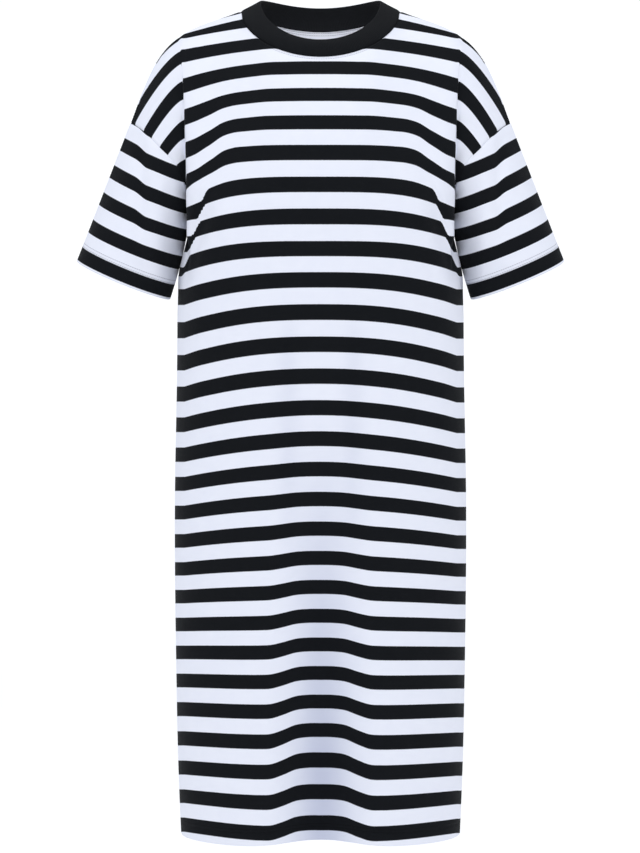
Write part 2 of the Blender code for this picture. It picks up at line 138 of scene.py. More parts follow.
EASE_ROWS = (0.00, 0.25, 0.55, 1.00)

# Sleeve hem: a tilted oval
SLEEVE_TILT = math.radians(22.5)
SLEEVE_HEM_ACROSS = 0.2657
SLEEVE_HEM_DROP = 0.3753
SLEEVE_HEM_HALF_WIDTH = 0.0680
SLEEVE_HEM_HALF_DEPTH = 0.0550
SLEEVE_HEM_FRONT_DIP = 0.008
SLEEVE_HEM_BACK_RISE = 0.006
SLEEVE_SAG = 0.0020

# Largest folds of the panels, as in the solids: lines in across and drop
FOLD_COLUMNS = ("panel", "kind", "top", "end", "depth_top", "depth_end", "width")
FOLDS = (
    ("front", "step", (0.142, 0.255), (0.190, 0.398), 0.0, 0.006, 0.030),
    ("front", "hollow", (0.000, 0.560), (0.000, 1.120), 0.0, 0.024, 0.054),
    ("back", "step", (0.138, 0.250), (0.188, 0.400), 0.0, 0.005, 0.032),
    ("back", "hollow", (0.000, 0.520), (0.000, 1.120), 0.0, 0.020, 0.060),
)
STEP_RISE = 0.022
STEP_STARTS = (0.00, 0.25)
STEP_FADES = (0.75, 1.15)
HOLLOW_FLATNESS = 3
FOLD_KEPT_FROM_SIDE = 0.020
FOLD_KEPT_FROM_ARM = 0.06
FOLD_HALF_WIDTH = 0.19
FOLD_HALF_DEPTH = 0.12

# Rows and columns of the solids, and how finely the cloth divides them
UPPER_SHARES = (0.0, 0.03, 0.09, 0.18, 0.30, 0.42, 0.54, 0.66, 0.77, 0.88, 1.0)
ARMPIT_ROWS = 8
ARMPIT_END = 0.420
SKIRT_ROWS = 14
COLUMN_SHARES = (0.0, 0.07, 0.14, 0.21, 0.28, 0.35, 0.42, 0.48, 0.54, 0.60, 0.66, 0.69,
                 0.72, 0.76, 0.82, 0.88, 0.94, 0.985, 1.0)
SLEEVE_ROWS = 8
RIB_COLUMNS = 360
RIB_ROWS = 16
FINE_STEP = 0.0052
EDGE_PARTS = 3
RIM_PARTS = 4

# Small folds of the cloth, added to the solids' own: side 0 is both, -1 the picture's left.
# A crease is a soft line; a ledge rises on its outer side and eases back over its fade.
CREASE_COLUMNS = ("piece", "side", "kind", "top", "end", "height", "width", "fade")
CREASES = (
    ("front", 0, "ledge", (0.1505, 0.247), (0.1885, 0.378), 0.0034, 0.003, 0.030),
    ("front", -1, "crease", (0.160, 0.365), (0.158, 0.570), 0.0016, 0.012, 0.0),
    ("front", 1, "crease", (0.162, 0.350), (0.157, 0.590), 0.0014, 0.013, 0.0),
    ("front", 0, "crease", (0.146, 0.140), (0.138, 0.262), -0.0014, 0.012, 0.0),
    ("front", -1, "crease", (0.104, 0.560), (0.108, 1.120), 0.0024, 0.030, 0.0),
    ("front", 1, "crease", (0.100, 0.600), (0.104, 1.120), 0.0022, 0.032, 0.0),
    ("front", -1, "crease", (0.066, 0.060), (0.074, 0.210), 0.0010, 0.016, 0.0),
    ("front", 1, "crease", (0.064, 0.060), (0.070, 0.200), 0.0011, 0.016, 0.0),
    ("back", 0, "ledge", (0.142, 0.245), (0.186, 0.385), 0.0026, 0.005, 0.032),
    ("back", -1, "crease", (0.150, 0.380), (0.146, 0.640), 0.0018, 0.015, 0.0),
    ("back", 1, "crease", (0.146, 0.360), (0.150, 0.600), 0.0016, 0.016, 0.0),
    ("back", -1, "crease", (0.108, 0.620), (0.110, 1.120), 0.0026, 0.030, 0.0),
    ("back", 1, "crease", (0.104, 0.580), (0.106, 1.120), 0.0024, 0.032, 0.0),
    ("back", 0, "crease", (0.118, 0.090), (0.132, 0.250), 0.0016, 0.018, 0.0),
)

# How far from a panel's sides and top, and from a sleeve's seam, the small folds begin
KEPT_FROM_SIDE = 0.02
KEPT_FROM_TOP = 0.03
KEPT_FROM_SEAM = 0.025

# Tops of the black stripes on the front as seen from the front, set after the photo:
# number, the drop at the middle, how much lower the stripe lies at the side, how late it bends
# down to it, its pull into the fold beside the arm, and its rise over the long middle fold
FRONT_STRIPES = (
    (-2, -0.024, 0.047, 0.9, 0.0, 0.0),
    (-1.515, -0.008, 0.044, 1.1, 0.0, 0.0),
    (-1, 0.010, 0.034, 1.6, 0.0, 0.0),
    (-0.515, 0.027, 0.023, 1.6, 0.0, 0.0),
    (0, 0.044, 0.021, 1.7, 0.0, 0.0),
    (1, 0.081, 0.023, 2.6, 0.0, 0.0),
    (2, 0.117, 0.024, 2.8, 0.005, 0.0),
    (3, 0.154, 0.023, 3.2, 0.014, 0.0),
    (4, 0.194, 0.023, 4.0, 0.018, 0.0),
    (5, 0.237, 0.030, 4.0, 0.004, 0.0),
    (6, 0.280, 0.026, 3.3, 0.0, 0.0),
    (7, 0.324, 0.022, 3.6, 0.0, 0.0),
    (8, 0.366, 0.023, 2.8, 0.0, 0.0),
    (10, 0.453, 0.025, 2.5, 0.0, 0.0),
    (13, 0.581, 0.021, 2.0, 0.0, 0.0010),
    (16, 0.703, 0.013, 2.0, 0.0, 0.0040),
    (19, 0.821, 0.003, 2.0, 0.0, 0.0090),
    (22, 0.937, -0.004, 2.0, 0.0, 0.0140),
    (24, 1.015, -0.007, 2.0, 0.0, 0.0180),
    (25, 1.058, -0.0095, 2.0, 0.0, 0.0165),
    (26, 1.100, -0.0135, 2.0, 0.0, 0.0165),
    (27, 1.142, -0.0155, 2.0, 0.0, 0.0165),
)
STRIPE_SIDE = 0.184
STRIPE_PULL_ACROSS = (0.120, 0.175)
STRIPE_RISE_WIDTH = 0.052
STRIPE_RISE_FLATNESS = 4
STRIPE_PLACES = 12
STRIPE_SHIFT = -0.0002
STRIPE_TILT = 0.23
STRIPE_TILT_DROPS = (0.30, 0.70)
STRIPE_PERIOD = 0.0415
BACK_STRIPE_PERIOD = 0.0389
BACK_STRIPE_BOW = 0.20
WIDEST_PERIOD = 0.047
WIDEST_ROWS = (0.45, 0.75)
BODY_BLACK_PART = 0.485

# Step of the stripes over the diagonal crease by the armpit
CREASE_STEP = 0.42
CREASE_STEP_WIDTH = 0.0018
CREASE_STEP_FADE = 0.050

# The same between the fold beside the arm and the sleeve seam: number, the drop at the fold, how
# much lower the stripe lies by the seam, and how late it bends down to it
ARM_STRIPES = (
    (-2, 0.023, 0.072, 1.7),
    (-1.515, 0.036, 0.072, 1.65),
    (-1, 0.044, 0.074, 1.6),
    (-0.515, 0.051, 0.078, 1.5),
    (0, 0.0655, 0.085, 1.5),
    (0.485, 0.083, 0.087, 1.45),
    (1, 0.107, 0.095, 1.45),
    (2, 0.160, 0.099, 1.35),
    (3, 0.214, 0.096, 1.35),
    (3.485, 0.2486, 0.084, 1.75),
    (4, 0.262, 0.094, 1.4),
    (5, 0.300, 0.094, 1.4),
    (6, 0.330, 0.094, 1.4),
)
ARM_STRIPE_WIDTH = 0.07

# Sleeve stripes, counted up from the hem
SLEEVE_STRIPE_PERIOD = 0.0392
SLEEVE_LAST_STRIPE = 0.0021
SLEEVE_BLACK_PART = 0.460
SLEEVE_CREASE_ACROSS = 0.2400
SLEEVE_CREASE_DROPS = (0.150, 0.185, 0.290, 0.350)
SLEEVE_CREASE_STEP = 0.11
SLEEVE_CREASE_WIDTH = 0.009
SLEEVE_CREASE_DEPTH = 0.0035
SLEEVE_ROLL_ACROSS = 0.216
SLEEVE_ROLL_HEIGHT = 0.0030
SLEEVE_ROLL_WIDTH = 0.012
SLEEVE_ROLL_DROPS = (0.19, 0.24)
SLEEVE_TURN_DEPTH = 0.012
SLEEVE_BACK_PART = 0.6

# Painted shade on the long middle fold's floor, which the light reaches less than the cloth beside
# it, and on a fainter line either side of it
FOLD_SHADE_ACROSS = 0.002
FOLD_SHADE_WIDTH = 0.036
FOLD_SHADE_DROPS = (0.55, 1.00)
FOLD_LINE_ACROSS = 0.042
FOLD_LINE_WIDTH = 0.014
FOLD_LINE_DROPS = (0.38, 0.50, 0.60, 0.80)
FOLD_LINE_SHADE = 0.22

# Sewing
NECK_STITCH = 0.0016
BODY_HEM_STITCH = 0.0165
SLEEVE_HEM_STITCH = 0.0215
HEM_STITCH_GAP = 0.0040
STITCH_LENGTH = 0.0032
NO_STITCH = 0.050


def hermite(start, end, leave, arrive, u):
    """The cubic from start to end that leaves and arrives with the given slopes."""
    rise = u * u * (3 - 2 * u)
    return (start * (1 - rise) + end * rise
            + leave * u * (1 - u) ** 2 - arrive * u * u * (1 - u))


def curve(keys, values, at):
    """A smooth curve through values at their keys."""
    keys = np.array(keys, float)
    values = np.array(values, float)
    slopes = np.gradient(values, keys)
    at = np.clip(at, keys[0], keys[-1])
    row = np.clip(np.searchsorted(keys, at, side="right") - 1, 0, len(keys) - 2)
    span = keys[row + 1] - keys[row]
    return hermite(values[row], values[row + 1], slopes[row] * span, slopes[row + 1] * span,
                   (at - keys[row]) / span)


def through(table, key, column, at):
    return curve(table[key], table[column], at)


def ease(low, high, value):
    """0 below low, 1 above high, smooth between."""
    u = np.clip((value - low) / (high - low), 0.0, 1.0)
    return u * u * (3 - 2 * u)


def mix(first, second, weight):
    return first + (second - first) * weight


def oval_depth(across, half_width, half_depth):
    ratio = np.clip(np.abs(across) / half_width, 0.0, 1.0)
    return half_depth * (1 - ratio ** OVAL) ** (1 / OVAL)


def neck_edge(share, panel):
    """The neck seam from the middle, at share 0, to the neck point, at NECK_SHARE."""
    turn = np.radians(90) * (1 - share / NECK_SHARE)
    front = panel == "front"
    depth = NECK_FRONT_DEPTH if front else NECK_BACK_DEPTH
    drop = NECK_FRONT_DROP if front else NECK_BACK_DROP
    down = np.sin(turn) ** (NECK_ROUNDNESS if front else NECK_BACK_ROUNDNESS)
    return (NECK_HALF_WIDTH * np.cos(turn), depth * np.sin(turn),
            NECK_POINT_DROP + (drop - NECK_POINT_DROP) * down)


def top_edge(share, panel):
    """The panel's top edge: across, depth and drop at each share of the half width."""
    on_neck = share <= NECK_SHARE
    neck = neck_edge(np.minimum(share, NECK_SHARE), panel)
    beyond = np.maximum(share, NECK_SHARE)
    return (np.where(on_neck, neck[0], through(SHOULDER, "share", "across", beyond)),
            np.where(on_neck, neck[1], 0.0),
            np.where(on_neck, neck[2], through(SHOULDER, "share", "drop", beyond)))


def section(share, drop, panel):
    """Across and depth of the body's section at a drop from the underarm down."""
    half_width = through(BODY, "drop", "half_width", drop)
    half_depth = through(BODY, "drop", panel, drop)
    crest = CREST_ACROSS * half_width
    chest_across = crest * through(SPREAD, "share", "part", share)
    chest_depth = oval_depth(chest_across, half_width, half_depth)
    crest_depth = oval_depth(crest, half_width, half_depth)

    beyond = np.clip((share - CREST_SHARE) / (1 - CREST_SHARE), 0.0, 1.0)
    crest_turn = math.asin(CREST_ACROSS ** (OVAL / 2))
    turn = mix(crest_turn, math.pi / 2, beyond)
    round_across = half_width * np.sin(turn) ** (2 / OVAL)
    round_depth = half_depth * np.clip(np.cos(turn), 0.0, 1.0) ** (2 / OVAL)

    to_floor = np.clip((share - CREST_SHARE) / (FLOOR_SHARE - CREST_SHARE), 0.0, 1.0)
    to_side = np.clip((share - FLOOR_SHARE) / (1 - FLOOR_SHARE), 0.0, 1.0)
    floor_depth = FLOOR["depth"][-1]
    flat_across = mix(mix(crest, FLOOR["across"][-1], to_floor), UNDERARM_ACROSS, to_side)
    flat_depth = mix(mix(crest_depth, floor_depth, to_floor), 0.0, to_side)

    rounded = ease(UNDERARM_DROP, UNDERARM_DROP + SIDE_ROUNDS_OUT, drop)
    beyond_crest = share > CREST_SHARE
    across = np.where(beyond_crest, mix(flat_across, round_across, rounded), chest_across)
    depth = np.where(beyond_crest, mix(flat_depth, round_depth, rounded), chest_depth)
    return across, depth


def chest(share, along, panel):
    """The upper panel between the middle and the crest, from its top edge to the underarm."""
    top_across, top_depth, top_drop = top_edge(share, panel)
    across, depth = section(share, np.full_like(share, UNDERARM_DROP), panel)
    forward = through(REACH, "share", panel + "_forward", share)
    downward = through(REACH, "share", panel + "_down", share)
    rounding = through(REACH, "share", panel + "_rounding", share)
    rounding = rounding * (1 - np.exp(-along / ROUNDING_REACH)) * (1 - along)
    return (mix(top_across, across, ease(0.0, 1.0, along)),
            hermite(top_depth, depth, forward, 0.0, along) + rounding,
            hermite(top_drop, UNDERARM_DROP, downward, FALL, along))


def arm_rail(table, along, panel):
    scale = 1.0 if panel == "front" else BACK_ARM_DEPTH
    return (through(table, "share", "across", along),
            through(table, "share", "depth", along) * scale,
            through(table, "share", "drop", along))


def arm_side(share, along, panel):
    """The upper panel beyond the crest: down into the fold and out over the arm to the seam."""
    crest = chest(np.full_like(share, CREST_SHARE), along, panel)
    floor = arm_rail(FLOOR, along, panel)
    seam = arm_rail(ARMHOLE, along, panel)
    top = top_edge(share, panel)
    floor_top = top_edge(np.full_like(share, FLOOR_SHARE), panel)
    seam_top = top_edge(np.ones_like(share), panel)
    to_floor = np.clip((share - CREST_SHARE) / (FLOOR_SHARE - CREST_SHARE), 0.0, 1.0)
    to_seam = np.clip((share - FLOOR_SHARE) / (1 - FLOOR_SHARE), 0.0, 1.0)
    result = []
    for axis in range(3):
        wall = mix(crest[axis], floor[axis], to_floor)
        rails = mix(floor[axis], seam[axis], to_seam)
        bow = (top[axis] - mix(floor_top[axis], seam_top[axis], to_seam)) * (1 - along) ** 2
        result.append(np.where(share <= FLOOR_SHARE, wall, rails + bow))
    return result


def line_place(across, drop, top, end):
    """Distance beside a line, positive on its outer side, and the share along it."""
    top = np.array(top)
    run = np.array(end) - top
    length = math.hypot(*run)
    beside = (across - top[0]) * run[1] / length - (drop - top[1]) * run[0] / length
    along = ((across - top[0]) * run[0] + (drop - top[1]) * run[1]) / length ** 2
    return beside, along


def fold_depth(across, drop, panel):
    """How far the panel's large folds press it inward."""
    total = np.zeros_like(across)
    for row in FOLDS:
        fold = dict(zip(FOLD_COLUMNS, row))
        if fold["panel"] != panel:
            continue
        beside, along = line_place(across, drop, fold["top"], fold["end"])
        depth = mix(fold["depth_top"], fold["depth_end"], np.clip(along, 0.0, 1.0))
        if fold["kind"] == "step":
            profile = ease(-STEP_RISE, 0.0, beside) * np.exp(-np.clip(beside, 0, None)
                                                             / fold["width"])
            reach = ease(*STEP_STARTS, along) * (1 - ease(*STEP_FADES, along))
            depth = fold["depth_end"] * reach
        else:
            profile = np.exp(-np.abs(beside / fold["width"]) ** HOLLOW_FLATNESS)
        total += depth * profile
    return total


def panel_grid(panel, share, row):
    """Points of one panel.

    A row up to 1 runs from the top edge to the underarm, and on from there to the hem.
    """
    side = np.sign(share)
    half = np.abs(share)
    along = np.clip(row, 0.0, 1.0)
    below = np.clip(row - 1.0, 0.0, 1.0)
    upper = [np.where(half <= CREST_SHARE, inner, outer) for inner, outer in
             zip(chest(np.minimum(half, CREST_SHARE), along, panel),
                 arm_side(np.maximum(half, CREST_SHARE), along, panel))]
    drop = mix(UNDERARM_DROP, HEM_DROP, below)
    across, depth = section(half, drop, panel)
    in_skirt = row > 1.0
    across = np.where(in_skirt, across, upper[0])
    depth = np.where(in_skirt, depth, upper[1])
    drop = np.where(in_skirt, drop, upper[2])

    beside_arm = (ease(CREST_SHARE, FLOOR_SHARE, half)
                  * (1 - ease(1.0, 1.0 + FOLD_KEPT_FROM_ARM, row)))
    press = fold_depth(across, drop, panel) * ease(0.0, FOLD_KEPT_FROM_SIDE, depth)
    press = press * (1 - beside_arm)
    steep = np.maximum(depth, 1e-6) / FOLD_HALF_DEPTH ** 2
    outward = across / FOLD_HALF_WIDTH ** 2
    length = np.hypot(steep, outward)
    depth = depth - press * steep / length
    across = across - press * outward / length
    centre = np.exp(-(across / HEM_CENTRE_WIDTH) ** 2) * ease(HEM_RISE_FROM_DROP, HEM_DROP, drop)
    drop = drop - HEM_CENTRE_RISE * centre
    facing = -1.0 if panel == "front" else 1.0
    return np.stack([np.where(side < 0, -across, across), facing * depth, -drop], axis=-1)


def eased(points, share, row):
    """The grid with the cloth round the neck point smoothed, its edges left where they are."""
    low, full, still, gone = EASE_SHARES
    half = np.abs(share)
    strength = ease(low, full, half) * (1 - ease(still, gone, half))
    strength = strength * ease(*EASE_ROWS[:2], row) * (1 - ease(*EASE_ROWS[2:], row))
    strength = EASE_STRENGTH * strength[1:-1, 1:-1, None]
    for _ in range(EASE_ROUNDS):
        neighbours = (points[:-2, 1:-1] + points[2:, 1:-1] + points[1:-1, :-2] + points[1:-1, 2:])
        points[1:-1, 1:-1] += strength * (neighbours / 4 - points[1:-1, 1:-1])
    return points


def panel_rows():
    armpit = (ARMPIT_END - UNDERARM_DROP) / (HEM_DROP - UNDERARM_DROP)
    below = list(np.linspace(0, armpit, ARMPIT_ROWS + 1)[1:])
    below += list(np.linspace(armpit, 1.0, SKIRT_ROWS + 1)[1:])
    return np.array(list(UPPER_SHARES) + [1.0 + part for part in below])


def sleeve_axis(side):
    return np.array([side * math.sin(SLEEVE_TILT), 0.0, -math.cos(SLEEVE_TILT)])


def sleeve_grid(turn_shares, rows):
    """Points of the right sleeve, in rows from the armhole to the hem and once round in each."""
    axis = sleeve_axis(1)
    outward = np.array([math.cos(SLEEVE_TILT), 0.0, math.sin(SLEEVE_TILT)])
    share, down = np.meshgrid(turn_shares, rows)
    in_front = share <= 1.0
    along = np.where(in_front, share, 2.0 - share)
    facing = np.where(in_front, -1.0, 1.0)
    seam = [np.where(in_front, front, back) for front, back in
            zip(arm_rail(ARMHOLE, along, "front"), arm_rail(ARMHOLE, along, "back"))]
    start = np.stack([seam[0], facing * seam[1], -seam[2]], axis=-1)
    turn = math.pi * share
    depth = -SLEEVE_HEM_HALF_DEPTH * np.sin(turn)
    dip = np.where(in_front, SLEEVE_HEM_FRONT_DIP, SLEEVE_HEM_BACK_RISE) * np.sin(turn)
    end = (np.array([SLEEVE_HEM_ACROSS, 0.0, -SLEEVE_HEM_DROP])
           + outward * (SLEEVE_HEM_HALF_WIDTH * np.cos(turn))[..., None]
           + np.array([0.0, 1.0, 0.0]) * depth[..., None]
           + axis * dip[..., None])
    points = mix(start, end, down[..., None])
    points[..., 0] -= SLEEVE_SAG * np.sin(math.pi * down) * ease(0.7, 1.0, along)
    return points


def rib_loop(turn, down):
    """Points of the rib, from its free top edge, down 0, to the neck seam, down 1."""
    front = np.sin(turn) < 0
    lift = np.abs(np.sin(turn))
    bend = np.where(front, lift ** NECK_ROUNDNESS, lift ** NECK_BACK_ROUNDNESS)
    half_width = mix(RIB_TOP_HALF_WIDTH, NECK_HALF_WIDTH, down)
    depth = np.where(front, mix(RIB_TOP_FRONT_DEPTH, NECK_FRONT_DEPTH, down),
                     mix(RIB_TOP_BACK_DEPTH, NECK_BACK_DEPTH, down))
    back_top = RIB_TOP_BACK_DROP * lift - RIB_BACK_HUMP * 4 * lift * (1 - lift)
    top_drop = np.where(front, RIB_TOP_FRONT_DROP * lift ** RIB_TOP_ROUNDNESS, back_top)
    seam_drop = NECK_POINT_DROP + (np.where(front, NECK_FRONT_DROP, NECK_BACK_DROP)
                                   - NECK_POINT_DROP) * bend
    swell = RIB_SWELL * np.sin(math.pi * down) * lift
    return np.stack([(half_width + swell) * np.cos(turn),
                     np.sign(np.sin(turn)) * (depth + swell) * lift,
                     -mix(top_drop, seam_drop, down) + swell], axis=-1)


def refined(grid, parts, axis, around=False):
    """The grid with each of its spans along an axis cut into parts on smooth curves."""
    grid = np.moveaxis(grid, axis, 0)
    if around:
        grid = np.concatenate([grid[-1:], grid, grid[:2]])
    chords = np.linalg.norm(np.diff(grid, axis=0), axis=-1, keepdims=True) ** 0.5 + 1e-9
    rates = np.diff(grid, axis=0) / chords
    before, after = chords[:-1], chords[1:]
    inner = (rates[:-1] * after + rates[1:] * before) / (before + after)
    if around:
        grid, chords, slopes = grid[1:-1], chords[1:-1], inner
    else:
        slopes = np.concatenate([rates[:1], inner, rates[-1:]])
    result = []
    for span, count in enumerate(parts):
        for step in range(count):
            result.append(hermite(grid[span], grid[span + 1], slopes[span] * chords[span],
                                  slopes[span + 1] * chords[span], step / count))
    if not around:
        result.append(grid[-1])
    return np.moveaxis(np.array(result), 0, axis)


def between(keys, parts):
    """The keys with each span cut into parts."""
    result = [mix(start, end, step / count)
              for start, end, count in zip(keys, keys[1:], parts) for step in range(count)]
    return np.array(result + [keys[-1]])


def span_parts(grid, axis, around=False):
    """How many parts each span takes, from its greatest length."""
    if around:
        grid = np.concatenate([grid, grid[:, :1]], axis=1)
    lengths = np.linalg.norm(np.diff(grid, axis=axis), axis=-1).max(axis=1 - axis)
    return [max(2, math.ceil(length / FINE_STEP)) for length in lengths]


def grid_normals(points, around=False):
    """Normals of a grid of points, which closes on itself along its columns when around is set."""
    if around:
        points = np.concatenate([points, points[:, :1]], axis=1)
    faces = np.cross(points[1:, 1:] - points[:-1, :-1], points[:-1, 1:] - points[1:, :-1])
    faces = faces / np.maximum(np.linalg.norm(faces, axis=-1, keepdims=True), 1e-12)
    first, last = (faces[:, -1:], faces[:, :1]) if around else (faces[:, :1], faces[:, -1:])
    faces = np.concatenate([first, faces, last], axis=1)
    faces = np.concatenate([faces[:1], faces, faces[-1:]], axis=0)
    normals = faces[:-1, :-1] + faces[:-1, 1:] + faces[1:, :-1] + faces[1:, 1:]
    if around:
        normals = normals[:, :-1]
    return normals / np.maximum(np.linalg.norm(normals, axis=-1, keepdims=True), 1e-12)


def lengths_along(points, axis):
    """Distance over the cloth from the first row or column."""
    steps = np.linalg.norm(np.diff(points, axis=axis), axis=-1)
    total = np.cumsum(steps, axis=axis)
    start = np.zeros_like(np.take(total, [0], axis=axis))
    return np.concatenate([start, total], axis=axis)


def creases_height(piece, across, drop):
    """How far the small folds stand out of the cloth. Across carries its sign here."""
    total = np.zeros_like(across)
    for row in CREASES:
        fold = dict(zip(CREASE_COLUMNS, row))
        if fold["piece"] != piece:
            continue
        beside, along = line_place(np.abs(across), drop, fold["top"], fold["end"])
        reach = ease(-0.10, 0.22, along) * (1 - ease(0.80, 1.08, along))
        if fold["end"][1] >= HEM_DROP:
            reach = ease(0.0, 0.6, along)
        if fold["kind"] == "ledge":
            profile = (ease(-fold["width"], fold["width"], beside)
                       * np.exp(-np.clip(beside, 0, None) / fold["fade"]))
        else:
            profile = np.exp(-(beside / fold["width"]) ** 2)
        if fold["side"]:
            profile = profile * (np.sign(across) == fold["side"])
        total += fold["height"] * profile * reach
    return total


def seen(points):
    """Across and drop of points as the photo's camera sees them on the plane of the shoulders."""
    scale = EYE_AWAY / (EYE_AWAY - np.abs(points[..., 1]))
    return (np.abs(points[..., 0]) * scale,
            EYE_DROP + (-points[..., 2] - EYE_DROP) * scale)


def front_tops(across):
    """Number and drop of the stripes' tops on the front at a distance across."""
    number, middle, side, bend, pull, rise = np.array(FRONT_STRIPES).T
    beside_fold = 1 - math.exp(-(across / STRIPE_RISE_WIDTH) ** STRIPE_RISE_FLATNESS)
    return number, (middle + side * (across / STRIPE_SIDE) ** bend
                    + pull * ease(*STRIPE_PULL_ACROSS, across) + rise * beside_fold)


def arm_tops(across):
    """The same between the fold beside the arm and the sleeve seam."""
    number, start, run, bend = np.array(ARM_STRIPES).T
    return number, start + run * ((across - STRIPE_SIDE) / ARM_STRIPE_WIDTH) ** bend


def stripe_number(across, drop, tops=front_tops, start=0.0, end=STRIPE_SIDE):
    """Stripe number at a place as seen from the front, from the stripes' tops across it."""
    keys = np.linspace(start, end, STRIPE_PLACES)
    by_column = []
    for key in keys:
        number, lies_at = tops(key)
        by_column.append(curve(lies_at, number, drop))
    by_column = np.stack(by_column, axis=-1)
    slopes = np.gradient(by_column, keys, axis=-1)
    if keys[0] == 0:
        slopes[..., 0] = 0.0
    at = np.clip(across, keys[0], keys[-1])
    k = np.clip(np.searchsorted(keys, at, side="right") - 1, 0, len(keys) - 2)
    span = keys[k + 1] - keys[k]

    def pick(values, index):
        return np.take_along_axis(values, index[..., None], axis=-1)[..., 0]

    return hermite(pick(by_column, k), pick(by_column, k + 1), pick(slopes, k) * span,
                   pick(slopes, k + 1) * span, (at - keys[k]) / span)


def crease_step(across, drop):
    """How far the stripes step down on the outer side of the crease by the armpit."""
    beside, along = line_place(across, drop, *CREASES[0][3:5])
    side = ease(-CREASE_STEP_WIDTH, CREASE_STEP_WIDTH, beside)
    side = side * np.exp(-np.clip(beside, 0, None) / CREASE_STEP_FADE)
    return CREASE_STEP * side * ease(0.0, 0.25, along) * (1 - ease(0.80, 1.05, along))


def panel_stripes(panel, points, share, row):
    """Stripe number at each point of a panel."""
    half = np.abs(share)
    across, drop = seen(points)
    if panel == "front":
        drop = drop - STRIPE_SHIFT
        number = stripe_number(across, drop) - crease_step(across, drop)
        tilt = STRIPE_TILT * ease(*STRIPE_TILT_DROPS, drop) * ease(0.0, 0.03, -points[..., 1])
        number = number - tilt * np.clip(points[..., 0], 0.0, None)
    else:
        side = stripe_number(np.full_like(drop, STRIPE_SIDE), -points[..., 2])
        bow = BACK_STRIPE_BOW * np.exp(-(across / HEM_CENTRE_WIDTH) ** 2)
        number = side + bow * ease(0.5, 1.1, -points[..., 2])
        underarm = int(np.argmin(np.abs(row[:, 0] - 1.0)))
        length = lengths_along(points, 0)
        above = (length[underarm] - length) / BACK_STRIPE_PERIOD
        number = np.where(row < 1.0, number[underarm] - above, number)
    over_arm = stripe_number(across, drop, arm_tops, STRIPE_SIDE, STRIPE_SIDE + ARM_STRIPE_WIDTH)
    to_floor = ease(CREST_SHARE, FLOOR_SHARE, half) * (1 - ease(0.80, 1.0, row))
    return unstretched(points, row, mix(number, over_arm, to_floor))


def unstretched(points, row, number):
    """The stripe number with no stripe wider over the cloth than a stripe can be.

    Near the shoulder line the cloth turns away from the eye, and a short way in the photo is a
    long way over the cloth.
    """
    down = lengths_along(points, 0)
    slant = np.gradient(number, axis=1) / np.gradient(lengths_along(points, 1), axis=1)
    least = np.sqrt(np.clip(1 / WIDEST_PERIOD ** 2 - slant ** 2, 0.0, None))
    least = least * (1 - ease(*WIDEST_ROWS, row))
    for k in range(len(number) - 2, -1, -1):
        above = number[k + 1] - (down[k + 1] - down[k]) * least[k]
        number[k] = np.minimum(number[k], above)
    return number


def thickness(from_hem, hem_depth):
    return mix(HEM_WALL, WALL, ease(hem_depth - 0.001, hem_depth + 0.001, from_hem))


def fold_shade(across, drop):
    """Amount of painted shade in the long middle fold, from 0 beside it to 1 on its floor."""
    floor = np.exp(-((across - FOLD_SHADE_ACROSS) / FOLD_SHADE_WIDTH) ** 2)
    floor = floor * np.clip((drop - FOLD_SHADE_DROPS[0])
                            / (FOLD_SHADE_DROPS[1] - FOLD_SHADE_DROPS[0]), 0.0, 1.0)
    walls = np.exp(-((np.abs(across) - FOLD_LINE_ACROSS) / FOLD_LINE_WIDTH) ** 2)
    starts, full, fading, gone = FOLD_LINE_DROPS
    walls = walls * ease(starts, full, drop) * (1 - ease(fading, gone, drop))
    return floor + FOLD_LINE_SHADE * walls


